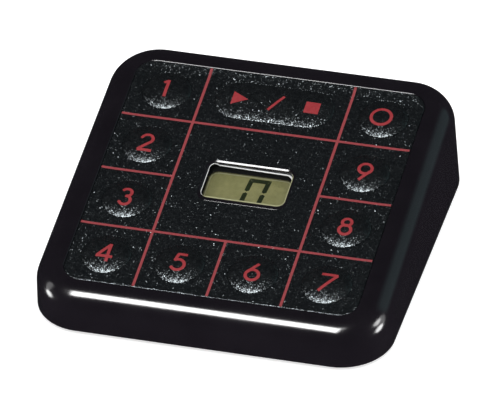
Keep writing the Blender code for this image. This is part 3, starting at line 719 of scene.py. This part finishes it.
def numeral_strokes():
    """Strokes of each numeral."""
    low = -MID
    return {
        "0": [arc((-0.38, 0), MID, 0, 360, 48)],
        "1": [[(0.08, -TOP + 0.3), (0.08, TOP)], [(-1.1, 2.05), (0.05, 2.86)]],
        "2": [arc((0, MID - 1.55), 1.55, 172, -38, 26) + [(-1.85, low)], [(-1.95, low), (2.05, low)]],
        "3": [arc((-0.1, MID - 1.32), 1.32, 150, -90, 26), arc((-0.1, low + 1.5), 1.5, 90, -158, 28)],
        "4": [[(0.85, -TOP), (0.85, TOP - 0.2)], [(0.85, TOP - 0.5), (-1.95, -1.35)],
              [(-2.3, -1.45), (2.2, -1.45)]],
        "5": [[(1.75, MID), (-0.62, MID), (-1.12, 0.42)],
              [(-1.10, 0.36)] + arc((-0.1, low + 1.78), 1.78, 122, -152, 30)],
        "6": [arc((0.15, low + 1.76), 1.76, 0, 360, 40), [(1.15, TOP - 0.05), (-1.32, low + 2.55)]],
        "7": [[(-1.8, MID), (2.6, MID)], [(2.47, MID), (-1.5, -TOP + 0.1)]],
        "8": [arc((0.15, MID - 1.24), 1.24, 0, 360, 36), arc((0.15, low + 1.58), 1.58, 0, 360, 40)],
        "9": [arc((0.15, MID - 1.76), 1.76, 0, 360, 40), [(-0.8, -TOP + 0.05), (1.57, MID - 2.55)]],
    }


def raised(name, shapes, body, half_run, centre):
    """Ink laid over a key's crown, a hair proud of it."""
    guides = [stadium(radius * MM, half_run) for radius in range(1, 7)] if half_run else []
    outlines = [[(p[0] * MM, p[1] * MM) for p in outline] for outline in shapes]
    points, triangles = flat_shapes(outlines, guides)
    bm = bmesh.new()
    sheet(bm, points, triangles, lambda p: crown_at(p, half_run) + INK_OVER_KEY,
          lambda p: crown_at(p, half_run) - INK_IN_FILM)
    obj = mesh_object(name, bm, INK, DECK @ Matrix.Translation((centre.x, centre.y, 0)), 50)
    piece(obj, body, "overlay_film")


def build_numerals():
    places = {name: centre for name, centre, half_run in key_places()}
    for digit, strokes in numeral_strokes().items():
        shapes = [[p + NUMERAL_DROP for p in outline] for points in strokes for outline in stroke(points)]
        raised("numeral_" + digit, shapes, "key_" + digit, 0.0, places["key_" + digit])
    go = [(-11.6, -2.45), (-7.2, -0.1), (-11.6, 2.25)]
    halt = [(8.5, -2.1), (12.5, -2.1), (12.5, 1.9), (8.5, 1.9)]
    shapes = [go, halt] + stroke([(-1.1, -2.8), (2.2, 2.6)], SLASH_WIDTH)
    raised("start_stop_marks", shapes, "key_start_stop", START_HALF_RUN, START_PLACE)


# ================================================================ window and display

FRONT_LIP = 0.75 * MM  # how much less far the opening reaches at the front
BEZEL_GROW = 0.46 * MM
BEZEL_RISE = 0.02 * MM
EDGE_DEEP = -1.42 * MM
EDGE_SHALLOW = -0.30 * MM
DISPLAY_TOP = -3.24 * MM
DIGIT_CENTRE = Vector((1.93 * MM, 0.85 * MM))
DIGIT_HALF = Vector((3.02 * MM, 4.86 * MM))
DIGIT_STROKE = 1.30 * MM
DIGIT_TAIL = 0.35 * MM  # the lower uprights are longer by this
DIGIT_GAP = 0.2 * MM
DIGIT_BLUNT = 0.06 * MM
DIGIT_POINT = 0.3
DIGIT_SLANT = math.tan(math.radians(6.3))
LIT = "abcdef"
OPENING_SIZE = Vector((22.0 * MM, 11.7 * MM))  # the part of the display that is left clear
OPENING_CENTRE = Vector((0.1 * MM, 0.2 * MM))
OPENING_CORNER = 2.0 * MM
FACE_DEPTH = 21 * MM
FACE_BOTTOM = -3.6 * MM
FACE_ROUND = 0.08 * MM
PRINT = 0.02 * MM


def closed_ring(name, rings, look, slot, smooth=40):
    """A closed ring-shaped solid from its section's rings in order."""
    bm = bmesh.new()
    rows = loft(bm, rings, caps=False)
    count = len(rows[0])
    for i in range(count):
        j = (i + 1) % count
        bm.faces.new((rows[-1][i], rows[-1][j], rows[0][j], rows[0][i]))
    piece(mesh_object(name, bm, look, DECK, smooth), "clock", slot)


def build_bezel(size, centre):
    """The glossy bezel: a bevel at the back and sides, and a broad flat lip at the front."""
    def outer(trim, n):
        return level(window_ring(BEZEL_GROW - trim * MM, 10), n)

    def inner(grow, n):
        return level(rectangle_ring(size, WINDOW_CORNER, 10, centre, grow * MM), n)

    closed_ring("window_bezel", [
        outer(0, -OVERLAY_THICK), outer(0, -0.02 * MM), outer(0.01, 0.0), outer(0.04, BEZEL_RISE),
        inner(0.20, BEZEL_RISE), inner(-0.18, -0.22 * MM), inner(-0.20, -0.26 * MM),
        inner(-0.20, SEAT_TOP), outer(0, SEAT_TOP)], GLOSS, "case_gloss", 18)


def build_lens_glint(lip):
    """The lens's edge, white as a painted highlight of its glint: deep at the back, almost flush at the left,
    widest in the far right corner.
    """
    def ring(grow, drop):
        spots = []
        for p, normal in lip:
            left = smoothstep(WINDOW_CENTRE.x - 8.4 * MM, WINDOW_CENTRE.x - 11.2 * MM, p.x)
            corner = smoothstep(8.8 * MM, 11.0 * MM, p.x) * smoothstep(2.0 * MM, 6.0 * MM, p.y)
            spot = p + normal * (grow * (1.15 - 0.72 * left + 0.9 * corner) - 0.20 * MM)
            depth = (1 - left) * EDGE_DEEP + left * EDGE_SHALLOW + drop
            spots.append(Vector((spot.x, spot.y, depth)))
        return spots

    section = [(-0.01, -0.22), (-0.01, -0.03), (-0.04, 0.0), (-0.24, 0.0), (-0.28, -0.04), (-0.28, -0.22)]
    closed_ring("lens_glint", [ring(grow * MM, n * MM) for grow, n in section], LENS_GLINT, "clear_plastic", 50)


def build_lens_flange(lip):
    """The rest of that edge, along the front and the right, in the display's pale edge colour: a painted
    reflection of the display in the clear lens.
    """
    # Each corner has 11 points: this runs from the middle of the near left one to that of the far right one.
    path = lip[27:] + lip[:6]
    sections = []
    for number, (p, normal) in enumerate(path):
        ends = min(1.0, number / 5, (len(path) - 1 - number) / 5)
        front = smoothstep(-3.5 * MM, -5.8 * MM, p.y)
        width = (0.04 + ends * (0.22 + 0.22 * front)) * MM
        outer, inner = p - normal * 0.19 * MM, p - normal * (0.19 * MM + width)
        sections.append([Vector((q.x, q.y, n * MM)) for q, n in
                         ((outer, -0.46), (outer, -0.32), (inner, -0.34), (inner, -0.46))])
    bm = bmesh.new()
    loft(bm, sections)
    # The pale khaki of this clear part is a painted reflection of the display.
    piece(mesh_object("lens_flange", bm, KHAKI_EDGE, DECK, 60), "clock", "clear_plastic")


def build_window():
    size = WINDOW_SIZE - Vector((0.0, FRONT_LIP))
    centre = WINDOW_CENTRE + Vector((0, FRONT_LIP / 2))
    lip = rounded_rectangle(size, WINDOW_CORNER, 10, centre)
    build_bezel(size, centre)
    build_lens_glint(lip)
    build_lens_flange(lip)
    bm = bmesh.new()
    rings = [(1.0, -2.5), (1.0, -1.75), (0.9, -1.66), (0.7, -1.63)]
    loft(bm, [level(window_ring(grow * MM, 8), n * MM) for grow, n in rings])
    piece(mesh_object("window_pane", bm, CLEAR, DECK, 40), "clock", "clear_plastic", "window_lens")


def segment(name):
    """One outer segment of the digit, before it is slanted: mitred outside, pointed at the waist."""
    hx, hv, w = DIGIT_HALF.x, DIGIT_HALF.y, DIGIT_STROKE
    if name in "ad":
        up = 1 if name == "a" else -1
        corners = ((-hx + DIGIT_BLUNT, hv), (hx - DIGIT_BLUNT, hv), (hx - w, hv - w), (-hx + w, hv - w))
        return [Vector((x, up * v)) for x, v in corners]
    side = 1 if name in "bc" else -1
    up = 1 if name in "bf" else -1
    outer, inner = (hv - DIGIT_BLUNT, hv - w) if up > 0 else (hv + DIGIT_TAIL, hv + DIGIT_TAIL)
    waist = DIGIT_GAP + w * DIGIT_POINT
    corners = ((hx, outer), (hx, waist), (hx - w / 2, DIGIT_GAP), (hx - w, waist), (hx - w, inner))
    return [Vector((side * x, up * v)) for x, v in corners]


def slanted(p):
    """A point of the digit in its place on the deck."""
    return DIGIT_CENTRE + Vector((p.x + p.y * DIGIT_SLANT, p.y))


def build_display():
    lcd_low, lcd_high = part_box("lcd_front_glass")
    half_x = (lcd_high.x - lcd_low.x) / 2
    size = Vector((2 * half_x, FACE_DEPTH))
    centre = Vector((0, WINDOW_CENTRE.y))
    bm = bmesh.new()
    loft(bm, [level(rectangle_ring(size, 0.6 * MM, 4, centre, grow), n) for grow, n in
              ((0, FACE_BOTTOM), (0, DISPLAY_TOP - FACE_ROUND), (-FACE_ROUND, DISPLAY_TOP))])
    piece(mesh_object("display_face", bm, KHAKI, DECK), "clock", "display_back", "lcd_front_glass")

    # A pale border, a ring of painted shade (the window walls' shadow on the display) and a black mask follow one
    # another outwards, each over the last one's edge.
    for name, grow_in, grow_out, rise, look, slot in (
            ("display_border", 0.0, 0.40, 0.012, KHAKI_EDGE, "display_back"),
            ("display_painted_shade", 0.36, 0.72, 0.022, KHAKI_PAINTED_SHADE, "display_back"),
            ("display_mask", 0.68, 3.3, 0.032, MASK, "display_glass")):
        inner, outer = (rectangle_ring(OPENING_SIZE, OPENING_CORNER, 8, OPENING_CENTRE, grow * MM)
                        for grow in (grow_in, grow_out))
        low, high = DISPLAY_TOP - PRINT, DISPLAY_TOP + rise * MM
        closed_ring(name, [level(outer, low), level(outer, high), level(inner, high), level(inner, low)],
                    look, slot)

    bm = bmesh.new()
    for name in LIT:
        prism(bm, [slanted(p) for p in segment(name)], DISPLAY_TOP - PRINT, DISPLAY_TOP + PRINT)
    piece(mesh_object("display_digit", bm, SEGMENT, DECK, 30), "clock", "display_back")


# ================================================================ battery door

DOOR_FRONT = 19.1 * MM
DOOR_LEAF_END = 44.4 * MM
DOOR_TONGUE = 0.9 * MM
DOOR_STEP = 1.0 * MM
DOOR_EDGE = 0.25 * MM
GROOVES = 6
GROOVE_START = 33 * MM
GROOVE_HALF = 11 * MM
GROOVE_WIDTH = 0.8 * MM


def build_door():
    """A T-shaped leaf in its slot, with sunk pockets inside, and finger grooves and an arrow outside."""
    low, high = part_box("battery_door")
    half = high.x - 1.2 * MM

    def leaf(bm):
        rings = []
        for y, trim in ((DOOR_FRONT, DOOR_EDGE), (DOOR_FRONT + DOOR_EDGE, 0), (DOOR_LEAF_END, 0)):
            step, tongue = low.z + DOOR_STEP, half + DOOR_TONGUE - trim
            right = [(half - trim, low.z + trim), (half - trim, step), (tongue, step),
                     (tongue, high.z - trim)]
            rings.append([(x, y, z) for x, z in right] + [(-x, y, z) for x, z in reversed(right)])
        loft(bm, rings)

    def neck(bm):
        block(bm, (-half + 1 * MM, DOOR_LEAF_END - 1 * MM, low.z + 0.1 * MM),
              (half - 1 * MM, high.y - 1 * MM, high.z - 0.1 * MM))

    def lip(bm):
        rings = []
        for z, trim in ((low.z, DOOR_EDGE), (low.z + DOOR_EDGE, 0), (high.z - DOOR_EDGE, 0),
                        (high.z, DOOR_EDGE)):
            x, front, back = high.x - trim, CASE_DEPTH / 2 - CASE_WALL, high.y - trim
            rings.append([(-x, front, z), (x, front, z), (x, back, z), (-x, back, z)])
        loft(bm, rings)

    def details(bm):
        for row in range(GROOVES):
            y = GROOVE_START + row * 1.7 * MM
            block(bm, (-GROOVE_HALF, y, low.z - 1 * MM), (GROOVE_HALF, y + GROOVE_WIDTH, low.z + 0.4 * MM))
        arrow = [Vector(c) * MM for c in ((-3.5, 26), (3.5, 26), (0, 30.5))]
        prism(bm, arrow, low.z - 1 * MM, low.z + 0.35 * MM)
        for left, right in ((-26, -9.5), (-8, 8), (9.5, 26)):
            block(bm, (left * MM, 21 * MM, high.z - 0.5 * MM), (right * MM, 42.5 * MM, high.z + 1 * MM))

    bm = bmesh.new()
    leaf(bm)
    door = mesh_object("door_leaf", bm, SATIN, None, 0)
    carve(door, [("UNION", cutter(neck)), ("UNION", cutter(lip)), ("DIFFERENCE", cutter(details))])
    door.data.materials.clear()
    door.data.materials.append(SATIN)
    piece(door, "door", "base_satin", "battery_door")


# ================================================================ carried-over CAD nodes

def dress_cad_nodes():
    """Every CAD node that still shows gets the finish of its material slot."""
    for part in frame["record"]["subparts"]:
        for slot in frame["nodes"][part["node"]].material_slots:
            slot.material = SLOTS[part["material_slot"]]


# ================================================================ studio

def aim(obj, direction, distance, target):
    """Puts a light that way from the target, facing it, with its width level."""
    across = (Vector((0, 0, 1)).cross(direction)).normalized()
    matrix = Matrix((across, direction.cross(across), direction)).transposed().to_4x4()
    matrix.translation = target + direction * distance
    obj.matrix_world = matrix


# Places in millimetres.
STUDIO_CENTRE = (0, 0, 20)
LEFT_CORNER = (-42.0, -44.0, 10.5)
RIGHT_CORNER = (46.0, -39.5, 10.6)
WHITE, TEAL = (1, 1, 1), (0.6, 1.0, 1.0)
# Name, shape, direction from the focus, distance (m), spread seen from one metre (m), radiance, colour,
# and the focus (mm), which is STUDIO_CENTRE where there is none.
LAMPS = (
    ("main_softbox", "RECTANGLE", (-0.175, -0.630, 0.758), 1.0, (0.46, 0.37), 35.0, WHITE, None),
    ("softbox_tail", "ELLIPSE", (0.110, -0.540, 0.832), 1.0, (0.20, 0.26), 3.0, WHITE, None),
    ("left_core", "ELLIPSE", (-0.940, -0.310, -0.100), 0.15, (0.30, 0.32), 18.0, WHITE, LEFT_CORNER),
    ("left_halo", "ELLIPSE", (-0.910, -0.190, 0.290), 0.16, (0.24, 0.66), 2.6, WHITE, LEFT_CORNER),
    ("right_core_low", "ELLIPSE", (0.980, 0.050, -0.180), 0.15, (0.38, 0.32), 18.0, WHITE, RIGHT_CORNER),
    ("right_core_high", "ELLIPSE", (0.930, 0.020, 0.290), 0.15, (0.36, 0.28), 12.0, WHITE, RIGHT_CORNER),
    ("right_halo", "ELLIPSE", (0.930, 0.170, 0.110), 0.16, (0.50, 0.64), 2.4, WHITE, RIGHT_CORNER),
    ("right_card", "ELLIPSE", (0.70, 0.59, 0.40), 1.0, (0.50, 0.62), 0.19, TEAL, None),
    ("right_card_wide", "ELLIPSE", (0.69, 0.58, 0.42), 1.0, (0.60, 1.00), 0.13, TEAL, None),
)
SKY_STRENGTH = 1.15
SKY_LOW, SKY_HIGH = (0.009, 0.009, 0.010, 1), (0.016, 0.017, 0.019, 1)
FLOOR_GLOW = 0.55


def soft_light(name, shape, direction, distance, size, radiance, colour, focus):
    """An area light that shows this radiance in reflections and adds no diffuse light.

    Given a focus (mm), the light stands close to that point and only the case sees it.
    """
    data = bpy.data.lights.new(name, "AREA")
    data.shape = shape
    data.size, data.size_y = size[0] * distance, size[1] * distance
    area = data.size * data.size_y * (math.pi / 4 if shape == "ELLIPSE" else 1)
    data.energy = radiance * math.pi * area
    data.color = colour
    obj = bpy.data.objects.new(name, data)
    bpy.context.scene.collection.objects.link(obj)
    aim(obj, Vector(direction).normalized(), distance, Vector(focus or STUDIO_CENTRE) * MM)
    if focus:
        obj.light_linking.receiver_collection = bpy.data.collections["case_only"]
    obj.visible_camera = False
    obj.visible_diffuse = False


def build_sky():
    """White light from all round, but a near-black sky for mirror rays, a little lighter overhead."""
    world = bpy.data.worlds.new("studio")
    bpy.context.scene.world = world
    world.use_nodes = True
    tree = world.node_tree
    sky = tree.nodes["Background"]
    sky.inputs["Color"].default_value = (1, 1, 1, 1)
    sky.inputs["Strength"].default_value = SKY_STRENGTH
    mirror_sky = node(tree, "ShaderNodeBackground", Strength=1.0)
    place = node(tree, "ShaderNodeTexCoord")
    apart = node(tree, "ShaderNodeSeparateXYZ")
    shade = node(tree, "ShaderNodeValToRGB")
    for stop, position, colour in zip(shade.color_ramp.elements, (0.40, 0.62), (SKY_LOW, SKY_HIGH)):
        stop.position, stop.color = position, colour
    tree.links.new(place.outputs["Generated"], apart.inputs[0])
    tree.links.new(ramp(tree, apart.outputs["Z"], -1, 1, 0, 1), shade.inputs[0])
    tree.links.new(shade.outputs["Color"], mirror_sky.inputs["Color"])
    path = node(tree, "ShaderNodeLightPath")
    mix = node(tree, "ShaderNodeMixShader")
    tree.links.new(path.outputs["Is Glossy Ray"], mix.inputs[0])
    tree.links.new(sky.outputs[0], mix.inputs[1])
    tree.links.new(mirror_sky.outputs[0], mix.inputs[2])
    tree.links.new(mix.outputs[0], tree.nodes["World Output"].inputs["Surface"])


def build_floor():
    """A pale light table that mirror rays don't see."""
    bm = bmesh.new()
    bmesh.ops.create_grid(bm, x_segments=8, y_segments=8, size=20)
    glow = {"Specular IOR Level": 0.0, "Emission Color": (1, 1, 1, 1), "Emission Strength": FLOOR_GLOW}
    look = surface("floor", (0.86, 0.86, 0.86), 0.9, second=(0.88, 0.88, 0.88), mottle=3, sockets=glow)
    floor = mesh_object("floor", bm, look, smooth=0)
    floor.visible_glossy = False
    floor.visible_shadow = False


def build_studio():
    build_sky()
    case_only = bpy.data.collections.new("case_only")
    case_only.objects.link(bpy.data.objects["case_shell"])
    for lamp in LAMPS:
        soft_light(*lamp)
    build_floor()
    bpy.context.scene.view_settings.view_transform = "Standard"
    bpy.context.scene.view_settings.look = "None"


AZIMUTH, ELEVATION, ROLL = (math.radians(turn) for turn in (17.61, 37.817, -3.253))
CAMERA_DISTANCE = 1.820  # metres
CAMERA_LENS = 492.6  # millimetres
SHIFT_RIGHT, SHIFT_UP = -0.299 * MM, -9.253 * MM


def build_camera():
    """A long lens from the front right and above, turned a little about its own axis."""
    back = Vector((math.sin(AZIMUTH) * math.cos(ELEVATION), -math.cos(AZIMUTH) * math.cos(ELEVATION),
                   math.sin(ELEVATION)))
    level_right = Vector((math.cos(AZIMUTH), math.sin(AZIMUTH), 0))
    level_up = back.cross(level_right)
    right = level_right * math.cos(ROLL) + level_up * math.sin(ROLL)
    up = -level_right * math.sin(ROLL) + level_up * math.cos(ROLL)
    eye = back * CAMERA_DISTANCE - right * SHIFT_RIGHT - up * SHIFT_UP
    eye += Vector((0, DECK_ORIGIN.y, CASE_BOTTOM))
    data = bpy.data.cameras.new("camera")
    data.sensor_width = 36
    data.lens = CAMERA_LENS
    data.clip_start, data.clip_end = 0.05, 100
    camera = bpy.data.objects.new("camera", data)
    bpy.context.scene.collection.objects.link(camera)
    matrix = Matrix((right, up, back)).transposed().to_4x4()
    matrix.translation = eye
    camera.matrix_world = matrix
    bpy.context.scene.camera = camera


build_case()
build_film()
build_lines()
build_caps()
build_numerals()
build_window()
build_display()
build_door()
dress_cad_nodes()
build_studio()
build_camera()
